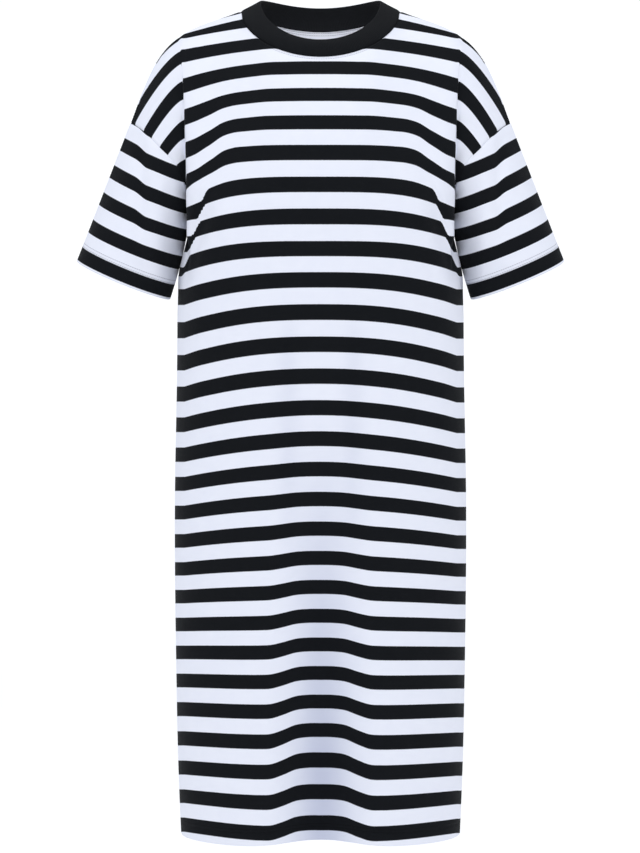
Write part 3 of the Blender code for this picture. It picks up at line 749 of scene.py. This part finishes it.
def shell_object(name, outer, normals, wall, maps, around):
    """A cloth shell with rounded edges at its first and last row.

    Each column's section runs down the outer side, round the last row's edge, up the inner side
    and round the first row's edge. maps are UV maps as arrays of two numbers for each point.
    """
    inner = outer - normals * wall[..., None]
    middle = (outer + inner) / 2

    def rim(row, beyond, start, stop):
        away = middle[row] - middle[beyond]
        away = away / np.linalg.norm(away, axis=-1, keepdims=True)
        half = wall[row][:, None] / 2
        return [middle[row] + half * (normals[row] * math.cos(turn) + away * math.sin(turn))
                for turn in np.linspace(start, stop, RIM_PARTS + 1)[1:-1]]

    loop = list(outer) + rim(-1, -2, 0, math.pi) + list(inner[::-1]) + rim(0, 1, math.pi, 0)
    points = np.array(loop)
    rows, columns = outer.shape[:2]
    source = (list(range(rows)) + [rows - 1] * (RIM_PARTS - 1)
              + list(range(rows))[::-1] + [0] * (RIM_PARTS - 1))
    total = len(loop)
    spans = columns if around else columns - 1
    quads, corners = [], []
    for place in range(total):
        following = (place + 1) % total
        for column in range(spans):
            beside = (column + 1) % columns
            quads.append((place * columns + column, following * columns + column,
                          following * columns + beside, place * columns + beside))
            corners.append(((source[place], column), (source[following], column),
                            (source[following], column + 1), (source[place], column + 1)))
    if not around:
        for column in (0, columns - 1):
            for row in range(rows - 1):
                back = rows + RIM_PARTS - 1 + (rows - 1 - row)
                quad = (row * columns + column, back * columns + column,
                        (back - 1) * columns + column, (row + 1) * columns + column)
                place = ((row, column), (row, column), (row + 1, column), (row + 1, column))
                quads.append(quad if column == 0 else quad[::-1])
                corners.append(place if column == 0 else place[::-1])

    mesh = bpy.data.meshes.new(name)
    mesh.from_pydata(points.reshape(-1, 3).tolist(), [], quads)
    index = np.array(corners).reshape(-1, 2)
    for map_name, values in maps.items():
        layer = mesh.uv_layers.new(name=map_name)
        layer.data.foreach_set("uv", values[index[:, 0], index[:, 1]].astype(np.float32).ravel())
    mesh.calc_loop_triangles()
    corner_points = points.reshape(-1, 3)[np.array(
        [tuple(triangle.vertices) for triangle in mesh.loop_triangles])]
    volume = np.einsum("ij,ij->i", corner_points[:, 0],
                       np.cross(corner_points[:, 1], corner_points[:, 2])).sum()
    if volume < 0:
        mesh.flip_normals()
    mesh.shade_smooth()
    item = bpy.data.objects.new(name, mesh)
    bpy.context.scene.collection.objects.link(item)
    return item


def make_panel(panel):
    half = list(COLUMN_SHARES)
    columns = np.array([-part for part in reversed(half[1:])] + half)
    share, row = np.meshgrid(columns, panel_rows())
    coarse = eased(panel_grid(panel, share, row), share, row)
    row_parts = span_parts(coarse, 0)
    column_parts = span_parts(coarse, 1)
    row_parts[0] = row_parts[0] + EDGE_PARTS
    row_parts[-1] = row_parts[-1] + EDGE_PARTS
    column_parts[0] = column_parts[-1] = EDGE_PARTS + 1
    points = refined(refined(coarse, row_parts, 0), column_parts, 1)
    share, row = np.meshgrid(between(columns, column_parts), between(panel_rows(), row_parts))
    outward = -1.0 if panel == "back" else 1.0
    number = panel_stripes(panel, points, share, row)

    from_top = lengths_along(points, 0)
    from_hem = from_top[-1] - from_top
    from_left = lengths_along(points, 1)
    from_side = np.minimum(from_left, from_left[:, -1:] - from_left)
    kept = ease(0.0, KEPT_FROM_SIDE, from_side) * ease(0.0, KEPT_FROM_TOP, from_top)
    height = creases_height(panel, points[..., 0], -points[..., 2]) * kept
    roll = np.exp(-(np.minimum(from_side, from_top) / SEAM_ROLL_WIDTH) ** 2)
    height = height - SEAM_ROLL * roll
    points = points + height[..., None] * grid_normals(points) * outward
    normals = grid_normals(points) * outward

    on_neck = np.abs(share) < NECK_SHARE
    neck_line = np.where(on_neck | (from_top > NO_STITCH), from_top - NECK_STITCH, NO_STITCH)
    stitch = np.where(from_top < from_hem, neck_line, from_hem - BODY_HEM_STITCH)
    stitch = np.clip(stitch, -NO_STITCH, NO_STITCH)
    middle = from_left - from_left[:, from_left.shape[1] // 2][:, None]
    # Painted shade for the long middle fold, carried to the material in the Shade map
    shade = fold_shade(points[..., 0], -points[..., 2])
    maps = {"Stripes": np.stack([middle / STRIPE_PERIOD, number], axis=-1),
            "Sewing": np.stack([middle, stitch], axis=-1),
            "Shade": np.stack([shade, 0 * shade], axis=-1)}
    maps = {key: widened(value, False) for key, value in maps.items()}
    return shell_object(panel + "_cloth", points, normals,
                        thickness(from_hem, BODY_HEM_DEPTH), maps, False)


def widened(values, around):
    """Map values with one more column, which closes a loop."""
    if not around:
        return values
    return np.concatenate([values, values[:, :1]], axis=1)


def make_sleeve(name, side):
    turns = np.array(list(UPPER_SHARES) + [2.0 - part for part in reversed(UPPER_SHARES[1:-1])])
    rows = np.linspace(0.0, 1.0, SLEEVE_ROWS + 1)
    coarse = sleeve_grid(turns, rows)
    row_parts = span_parts(coarse, 0)
    column_parts = span_parts(coarse, 1, around=True)
    row_parts[0] = row_parts[0] + 2 * EDGE_PARTS
    row_parts[-1] = row_parts[-1] + EDGE_PARTS
    points = refined(refined(coarse, row_parts, 0), column_parts, 1, around=True)

    axis = sleeve_axis(1)
    above_hem = (points[-1] - points) @ axis
    number = (above_hem - SLEEVE_LAST_STRIPE) / SLEEVE_STRIPE_PERIOD
    across, drop = points[..., 0], -points[..., 2]
    starts, full, fading, gone = SLEEVE_CREASE_DROPS
    reach = ease(starts, full, drop) * (1 - ease(fading, gone, drop))
    inside = ease(-SLEEVE_CREASE_WIDTH, SLEEVE_CREASE_WIDTH, SLEEVE_CREASE_ACROSS - across)
    front = ease(0.0, SLEEVE_TURN_DEPTH, -points[..., 1])
    both = front + SLEEVE_BACK_PART * ease(0.0, SLEEVE_TURN_DEPTH, points[..., 1])
    number = number + SLEEVE_CREASE_STEP * inside * reach * both

    from_seam = lengths_along(points, 0)
    from_hem = from_seam[-1] - from_seam
    kept = ease(0.0, KEPT_FROM_SEAM, from_seam)
    beside = (across - SLEEVE_CREASE_ACROSS) / SLEEVE_CREASE_WIDTH
    height = -SLEEVE_CREASE_DEPTH * np.exp(-beside ** 2) * reach * both
    roll_at = (across - SLEEVE_ROLL_ACROSS) / SLEEVE_ROLL_WIDTH
    height = height + (SLEEVE_ROLL_HEIGHT * np.exp(-roll_at ** 2)
                       * ease(*SLEEVE_ROLL_DROPS, drop) * front)
    height = height * kept - SEAM_ROLL * np.exp(-(from_seam / SEAM_ROLL_WIDTH) ** 2)
    normals = -grid_normals(points, around=True)
    points = points + height[..., None] * normals
    normals = -grid_normals(points, around=True)

    round_it = lengths_along(np.concatenate([points, points[:, :1]], axis=1), 1)
    stitch = np.clip(from_hem - SLEEVE_HEM_STITCH, -NO_STITCH, NO_STITCH)
    stitch = widened(stitch, True)
    maps = {"Stripes": np.stack([round_it / STRIPE_PERIOD, widened(number, True)], axis=-1),
            "Sewing": np.stack([round_it, stitch], axis=-1),
            "Shade": np.zeros(round_it.shape + (2,))}
    mirror = np.array([side, 1.0, 1.0])
    return shell_object(name + "_cloth", points * mirror, normals * mirror,
                        thickness(from_hem, SLEEVE_HEM_DEPTH), maps, True)


def make_rib(name):
    turns = np.linspace(0.0, 2 * math.pi, RIB_COLUMNS + 1)[:-1]
    turn, down = np.meshgrid(turns, np.linspace(0.0, 1.0, RIB_ROWS + 1))
    points = rib_loop(turn, down)
    from_top = lengths_along(points, 0)
    from_seam = from_top[-1] - from_top
    normals = grid_normals(points, around=True)
    roll = SEAM_ROLL * np.exp(-(from_seam / SEAM_ROLL_WIDTH) ** 2)
    points = points - roll[..., None] * normals
    normals = grid_normals(points, around=True)
    wall = np.full(turn.shape, RIB_WALL)
    round_it = lengths_along(np.concatenate([points, points[:, :1]], axis=1), 1)
    halfway = round_it[RIB_ROWS // 2] + 0 * round_it
    maps = {"Ribs": np.stack([halfway, widened(from_top, True)], axis=-1)}
    return shell_object(name + "_cloth", points, normals, wall, maps, True)


class Nodes:
    """Short calls for building a material's nodes."""

    def __init__(self, name):
        self.material = bpy.data.materials.new(name)
        self.material.use_nodes = True
        self.tree = self.material.node_tree
        self.shader = self.tree.nodes["Principled BSDF"]

    def join(self, value, socket):
        if isinstance(value, bpy.types.NodeSocket):
            self.tree.links.new(value, socket)
        else:
            socket.default_value = value

    def math(self, operation, first, second=0.0, third=0.0):
        node = self.tree.nodes.new("ShaderNodeMath")
        node.operation = operation
        for value, socket in zip((first, second, third), node.inputs):
            self.join(value, socket)
        return node.outputs[0]

    def place(self, map_name):
        source = self.tree.nodes.new("ShaderNodeUVMap")
        source.uv_map = map_name
        split = self.tree.nodes.new("ShaderNodeSeparateXYZ")
        self.join(source.outputs[0], split.inputs[0])
        return source.outputs[0], split.outputs[0], split.outputs[1]

    def noise(self, scale, detail=2.0, vector=None):
        node = self.tree.nodes.new("ShaderNodeTexNoise")
        node.inputs["Scale"].default_value = scale
        node.inputs["Detail"].default_value = detail
        if vector is None:
            source = self.tree.nodes.new("ShaderNodeTexCoord")
            vector = source.outputs["Object"]
        self.join(vector, node.inputs["Vector"])
        return node.outputs["Fac"]

    def steps(self, value, stops):
        node = self.tree.nodes.new("ShaderNodeValToRGB")
        ramp = node.color_ramp
        while len(ramp.elements) < len(stops):
            ramp.elements.new(0.5)
        for element, (position, level) in zip(ramp.elements, stops):
            element.position = position
            element.color = (level, level, level, 1.0)
        self.join(value, node.inputs[0])
        return node.outputs[0]

    def colours(self, weight, first, second):
        node = self.tree.nodes.new("ShaderNodeMix")
        node.data_type = "RGBA"
        self.join(weight, node.inputs[0])
        self.join(first, node.inputs[6])
        self.join(second, node.inputs[7])
        return node.outputs[2]

    def shaded(self, weight, colour, shade):
        node = self.tree.nodes.new("ShaderNodeMix")
        node.data_type = "RGBA"
        node.blend_type = "MULTIPLY"
        self.join(weight, node.inputs[0])
        self.join(colour, node.inputs[6])
        self.join(shade, node.inputs[7])
        return node.outputs[2]

    def bump(self, height, distance, strength=1.0, before=None):
        node = self.tree.nodes.new("ShaderNodeBump")
        node.inputs["Strength"].default_value = strength
        node.inputs["Distance"].default_value = distance
        self.join(height, node.inputs["Height"])
        if before is not None:
            self.join(before, node.inputs["Normal"])
        return node.outputs[0]


WHITE = (0.83, 0.85, 0.93, 1.0)
WHITE_SHADE = (0.78, 0.805, 0.90, 1.0)
BLACK = (0.0050, 0.0060, 0.0078, 1.0)
BLACK_SHADE = (0.0068, 0.0078, 0.0098, 1.0)
# The stitches' colour: the cloth multiplied by this grey, the thread with painted shade along it
THREAD_WITH_PAINTED_SHADE = (0.50, 0.50, 0.53, 1.0)
# Painted shade: the colour the cloth is multiplied by on the long middle fold's floor
FOLD_PAINTED_SHADE = (0.65, 0.67, 0.75, 1.0)
RIB_BLACK = (0.0085, 0.0095, 0.0115, 1.0)
# Painted shade: the rib's colour between its ridges
RIB_GROOVE_PAINTED_SHADE = (0.0030, 0.0035, 0.0045, 1.0)
WALES = 44.0
WALE_HEIGHT = 0.6
COURSES = 56.0
RIB_SPACING = 0.0021
RIB_COURSE = 0.0009

# Uneven stripe edges: the fibre noise, how far it moves an edge, and the softness of the edge
FIBRE_NOISE = 900.0
FIBRE_REACH = 0.008
EDGE_SOFTNESS = 0.010
THREAD_HALF_WIDTH = 0.00045
STITCH_PART = 0.78


def jersey_material(name, black_part):
    """Yarn-dyed jersey: stripes by the map's second number, knit loops, mottle, painted shade in
    the long middle fold, and stitching that darkens the cloth with painted shade.
    """
    nodes = Nodes(name)
    _, around, number = nodes.place("Stripes")
    fuzz = nodes.math("MULTIPLY_ADD", nodes.noise(FIBRE_NOISE), 2 * FIBRE_REACH, -FIBRE_REACH)
    place = nodes.math("FRACT", nodes.math("ADD", number, fuzz))
    white = nodes.steps(place, ((0.0, 0.0), (black_part - EDGE_SOFTNESS, 0.0),
                                (black_part + EDGE_SOFTNESS, 1.0), (1 - EDGE_SOFTNESS, 1.0),
                                (1.0, 0.0)))
    mottle = nodes.noise(55.0, 4.0)
    light = nodes.colours(mottle, WHITE_SHADE, WHITE)
    dark = nodes.colours(mottle, BLACK, BLACK_SHADE)
    cloth = nodes.colours(white, dark, light)
    # Painted shade: the cloth's colour is darkened on the long middle fold's floor
    _, painted_fold_shade, _ = nodes.place("Shade")
    cloth = nodes.shaded(painted_fold_shade, cloth, FOLD_PAINTED_SHADE)

    _, along, beside = nodes.place("Sewing")
    lines = None
    for offset in (0.0, HEM_STITCH_GAP):
        gap = nodes.math("ABSOLUTE", nodes.math("SUBTRACT", beside, offset))
        line = nodes.math("LESS_THAN", gap, THREAD_HALF_WIDTH)
        lines = line if lines is None else nodes.math("MAXIMUM", lines, line)
    dash = nodes.math("LESS_THAN", nodes.math("FRACT", nodes.math("DIVIDE", along, STITCH_LENGTH)),
                      STITCH_PART)
    thread = nodes.math("MULTIPLY", lines, dash)
    # The stitches darken the cloth's own colour: the thread, with painted shade along its line
    cloth = nodes.shaded(nodes.math("MULTIPLY", thread, 0.8), cloth, THREAD_WITH_PAINTED_SHADE)
    nodes.join(cloth, nodes.shader.inputs["Base Color"])

    wale = nodes.math("SINE", nodes.math("MULTIPLY", around, 2 * math.pi * WALES))
    course = nodes.math("SINE", nodes.math("MULTIPLY_ADD", number, 2 * math.pi * COURSES,
                                           nodes.math("MULTIPLY", wale, 0.9)))
    loops = nodes.math("ADD", nodes.math("MULTIPLY", wale, WALE_HEIGHT),
                       nodes.math("MULTIPLY", course, 1 - WALE_HEIGHT))
    groove = nodes.math("SUBTRACT", 1.0, nodes.steps(
        nodes.math("MULTIPLY", nodes.math("ABSOLUTE", beside), 300.0), ((0.0, 0.0), (1.0, 1.0))))
    normal = nodes.bump(loops, 0.00012, 0.5)
    normal = nodes.bump(nodes.noise(70.0, 3.0), 0.0010, 0.25, normal)
    normal = nodes.bump(nodes.math("SUBTRACT", nodes.math("MULTIPLY", thread, 0.4), groove),
                        0.0006, 0.8, normal)
    nodes.join(normal, nodes.shader.inputs["Normal"])
    rough = nodes.math("MULTIPLY_ADD", nodes.noise(160.0), 0.10, 0.80)
    nodes.join(rough, nodes.shader.inputs["Roughness"])
    nodes.shader.inputs["Specular IOR Level"].default_value = 0.08
    nodes.shader.inputs["Sheen Weight"].default_value = 0.02
    nodes.shader.inputs["Sheen Roughness"].default_value = 0.45
    return nodes.material


def rib_material(name):
    """Black one-by-one rib: fine ridges across the band, with painted shade between them."""
    nodes = Nodes(name)
    _, around, down = nodes.place("Ribs")
    ridge = nodes.math("SINE", nodes.math("MULTIPLY", around, 2 * math.pi / RIB_SPACING))
    ridge = nodes.math("MULTIPLY_ADD", ridge, 0.5, 0.5)
    course = nodes.math("SINE", nodes.math("MULTIPLY_ADD", down, 2 * math.pi / RIB_COURSE,
                                           nodes.math("MULTIPLY", ridge, 2.0)))
    mottle = nodes.noise(80.0, 3.0)
    # Painted shade: the colour darkens between the ridges
    cloth = nodes.colours(nodes.math("MULTIPLY", ridge, mottle), RIB_GROOVE_PAINTED_SHADE, RIB_BLACK)
    cloth = nodes.colours(0.55, cloth, RIB_BLACK)
    nodes.join(cloth, nodes.shader.inputs["Base Color"])
    normal = nodes.bump(ridge, 0.0005, 0.6)
    normal = nodes.bump(course, 0.0001, 0.4, normal)
    nodes.join(normal, nodes.shader.inputs["Normal"])
    rough = nodes.math("MULTIPLY_ADD", nodes.noise(200.0), 0.10, 0.80)
    nodes.join(rough, nodes.shader.inputs["Roughness"])
    nodes.shader.inputs["Specular IOR Level"].default_value = 0.08
    nodes.shader.inputs["Sheen Weight"].default_value = 0.03
    nodes.shader.inputs["Sheen Roughness"].default_value = 0.45
    return nodes.material


def make_stage():
    """A pale floor that turns up into a wall behind the dress."""
    floor_z, wall_y, top, half_width, bend = -1.42, 9.0, 5.0, 9.0, 1.0
    profile = [(-wall_y, floor_z), (wall_y - bend, floor_z)]
    for turn in np.linspace(0.0, math.pi / 2, 13)[1:]:
        profile.append((wall_y - bend + bend * math.sin(turn),
                        floor_z + bend * (1 - math.cos(turn))))
    profile.append((wall_y, top))
    vertices = [(x, y, z) for y, z in profile for x in (-half_width, half_width)]
    faces = [(2 * k, 2 * k + 1, 2 * k + 3, 2 * k + 2) for k in range(len(profile) - 1)]
    mesh = bpy.data.meshes.new("studio_floor")
    mesh.from_pydata(vertices, [], faces)
    mesh.shade_smooth()
    floor = bpy.data.objects.new("studio_floor", mesh)
    bpy.context.scene.collection.objects.link(floor)
    nodes = Nodes("pale_floor")
    tone = nodes.noise(3.0, 4.0)
    nodes.join(nodes.colours(tone, (0.93, 0.93, 0.93, 1.0), (0.95, 0.95, 0.95, 1.0)),
               nodes.shader.inputs["Base Color"])
    nodes.shader.inputs["Roughness"].default_value = 0.9
    nodes.shader.inputs["Emission Color"].default_value = (1.0, 1.0, 1.0, 1.0)
    nodes.shader.inputs["Emission Strength"].default_value = 0.23
    mesh.materials.append(nodes.material)


def make_light(name, place, target, size, power, colour=(1.0, 1.0, 1.0)):
    data = bpy.data.lights.new(name, "AREA")
    data.shape = "RECTANGLE"
    data.size, data.size_y = size
    data.energy = power
    data.color = colour
    lamp = bpy.data.objects.new(name, data)
    lamp.location = place
    away = np.array(target, float) - np.array(place, float)
    lamp.rotation_euler = (math.acos(-away[2] / np.linalg.norm(away)), 0.0,
                           math.atan2(away[1], away[0]) - math.pi / 2)
    bpy.context.scene.collection.objects.link(lamp)


def make_studio():
    world = bpy.data.worlds.new("studio")
    world.use_nodes = True
    world.node_tree.nodes["Background"].inputs["Color"].default_value = (0.93, 0.955, 1.0, 1.0)
    world.node_tree.nodes["Background"].inputs["Strength"].default_value = 0.80
    scene = bpy.context.scene
    scene.world = world
    scene.view_settings.view_transform = "Standard"
    make_light("high_panel", (-0.1, -0.9, 1.9), (0.0, 0.0, -0.6), (2.0, 0.9), 19.0)
    make_light("left_panel", (-2.6, -2.0, 0.2), (0.0, 0.0, -0.5), (1.6, 2.4), 2.6)
    make_light("right_panel", (2.6, -2.0, 0.2), (0.0, 0.0, -0.5), (1.6, 2.4), 2.0)
    make_light("front_panel", (0.0, -4.2, -0.50), (0.0, 0.0, -0.5), (2.4, 0.5), 7.0)
    make_light("neck_fill", (0.0, -0.030, -0.028), (0.0, 0.09, -0.050), (0.060, 0.012), 0.085)

    data = bpy.data.cameras.new("camera")
    data.lens = LENS
    data.sensor_width = 36.0
    data.clip_start = 0.05
    data.clip_end = 60.0
    camera = bpy.data.objects.new("camera", data)
    camera.location = (EYE_ACROSS, -EYE_AWAY, -EYE_DROP)
    camera.rotation_euler = (math.radians(90), 0.0, 0.0)
    scene.collection.objects.link(camera)
    scene.camera = camera


def finish_piece(piece, node, material):
    piece.data.materials.append(material)
    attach(piece, "root")
    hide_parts(node)


make_studio()
make_stage()
body_cloth = jersey_material("striped_jersey", BODY_BLACK_PART)
sleeve_cloth = jersey_material("striped_jersey_sleeve", SLEEVE_BLACK_PART)
finish_piece(make_panel("front"), "front", body_cloth)
finish_piece(make_panel("back"), "back", body_cloth)
for sleeve, direction in (("sleeve_left", -1), ("sleeve_right", 1)):
    finish_piece(make_sleeve(sleeve, direction), sleeve, sleeve_cloth)
finish_piece(make_rib("neck_rib"), "neck_rib", rib_material("black_rib"))
